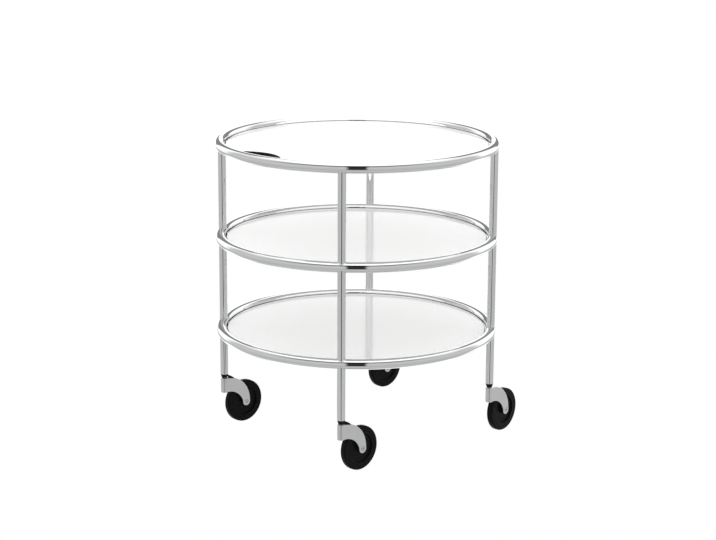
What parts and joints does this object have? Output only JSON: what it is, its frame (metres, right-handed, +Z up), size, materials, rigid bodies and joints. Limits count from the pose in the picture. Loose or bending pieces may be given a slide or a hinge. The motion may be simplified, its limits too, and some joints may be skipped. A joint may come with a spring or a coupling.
{
  "type": "room service trolley",
  "caption": "Round tiered serving trolley: chromed tube hoops carry flat white trays on upright tube legs with swivel castors; the top tray has a hand hole.",
  "frame": {"origin": "on the floor, on the common axis of the three rings", "axes": "+Z up; the front leg stands towards -Y and the right leg towards +X; the hand hole lies between the front and left legs"},
  "size_m": [0.5378, 0.5605, 0.541],
  "materials": {
    "tube_chrome": "polished chrome plate on steel tube",
    "tray_board": "gloss white laminate faces on a black core that shows at the edges",
    "castor_alloy": "satin die-cast alloy",
    "black_plastic": "matte black moulding",
    "wheel_hub": "matte dark moulding",
    "wheel_tread": "smooth dark grey tread",
    "steel": "bright zinc plate"
  },
  "bodies": {
    "frame": {"ring_bottom": "tube_chrome", "ring_middle": "tube_chrome", "ring_top": "tube_chrome", "leg_upper_front": "tube_chrome", "leg_upper_right": "tube_chrome", "leg_upper_back": "tube_chrome", "leg_upper_left": "tube_chrome", "leg_middle_front": "tube_chrome", "leg_middle_right": "tube_chrome", "leg_middle_back": "tube_chrome", "leg_middle_left": "tube_chrome", "leg_foot_front": "tube_chrome", "leg_foot_right": "tube_chrome", "leg_foot_back": "tube_chrome", "leg_foot_left": "tube_chrome", "tray_bottom": "tray_board", "lugs_bottom": "tube_chrome", "tray_screws_bottom": "steel", "tray_middle": "tray_board", "lugs_middle": "tube_chrome", "tray_screws_middle": "steel", "tray_top": "tray_board", "lugs_top": "tube_chrome", "tray_screws_top": "steel", "castor_front_plug": "black_plastic", "castor_front_stem": "steel", "castor_front_washer": "steel", "castor_right_plug": "black_plastic", "castor_right_stem": "steel", "castor_right_washer": "steel", "castor_back_plug": "black_plastic", "castor_back_stem": "steel", "castor_back_washer": "steel", "castor_left_plug": "black_plastic", "castor_left_stem": "steel", "castor_left_washer": "steel"},
    "brake_front": {"castor_front_brake_lever": "black_plastic"},
    "castor_front": {"castor_front_body": "castor_alloy", "castor_front_axle": "steel", "castor_front_axle_screw": "steel", "castor_front_brake_pin": "steel"},
    "wheel_front": {"castor_front_hub": "wheel_hub", "castor_front_tyre": "wheel_tread"},
    "castor_right": {"castor_right_body": "castor_alloy", "castor_right_axle": "steel", "castor_right_axle_screw": "steel"},
    "wheel_right": {"castor_right_hub": "wheel_hub", "castor_right_tyre": "wheel_tread"},
    "castor_back": {"castor_back_body": "castor_alloy", "castor_back_axle": "steel", "castor_back_axle_screw": "steel"},
    "wheel_back": {"castor_back_hub": "wheel_hub", "castor_back_tyre": "wheel_tread"},
    "brake_left": {"castor_left_brake_lever": "black_plastic"},
    "castor_left": {"castor_left_body": "castor_alloy", "castor_left_axle": "steel", "castor_left_axle_screw": "steel", "castor_left_brake_pin": "steel"},
    "wheel_left": {"castor_left_hub": "wheel_hub", "castor_left_tyre": "wheel_tread"}
  },
  "joints": [
    {"name": "swivel_front", "type": "hinge", "parent": "frame", "child": "castor_front", "pos_m": [0, -0.241, 0.078], "axis": [0, 0, 1], "continuous": true},
    {"name": "roll_front", "type": "hinge", "parent": "castor_front", "child": "wheel_front", "pos_m": [0.0265, -0.20319, 0.039], "axis": [-0.766, 0.6428, 0], "continuous": true},
    {"name": "brake_press_front", "type": "hinge", "parent": "castor_front", "child": "brake_front", "pos_m": [0.01093, -0.22798, 0.0816], "axis": [0.766, -0.6428, 0], "range_deg": [0, 10]},
    {"name": "swivel_right", "type": "hinge", "parent": "frame", "child": "castor_right", "pos_m": [0.241, 0, 0.078], "axis": [0, 0, 1], "continuous": true},
    {"name": "roll_right", "type": "hinge", "parent": "castor_right", "child": "wheel_right", "pos_m": [0.2627, 0.04076, 0.039], "axis": [-0.8387, 0.5446, 0], "continuous": true},
    {"name": "swivel_back", "type": "hinge", "parent": "frame", "child": "castor_back", "pos_m": [0, 0.241, 0.078], "axis": [0, 0, 1], "continuous": true},
    {"name": "roll_back", "type": "hinge", "parent": "castor_back", "child": "wheel_back", "pos_m": [0.02716, 0.27834, 0.039], "axis": [-0.7547, 0.6561, 0], "continuous": true},
    {"name": "swivel_left", "type": "hinge", "parent": "frame", "child": "castor_left", "pos_m": [-0.241, 0, 0.078], "axis": [0, 0, 1], "continuous": true},
    {"name": "roll_left", "type": "hinge", "parent": "castor_left", "child": "wheel_left", "pos_m": [-0.21255, 0.03637, 0.039], "axis": [-0.7314, 0.682, 0], "continuous": true},
    {"name": "brake_press_left", "type": "hinge", "parent": "castor_left", "child": "brake_left", "pos_m": [-0.22941, 0.01243, 0.0816], "axis": [0.7314, -0.682, 0], "range_deg": [0, 10]}
  ]
}
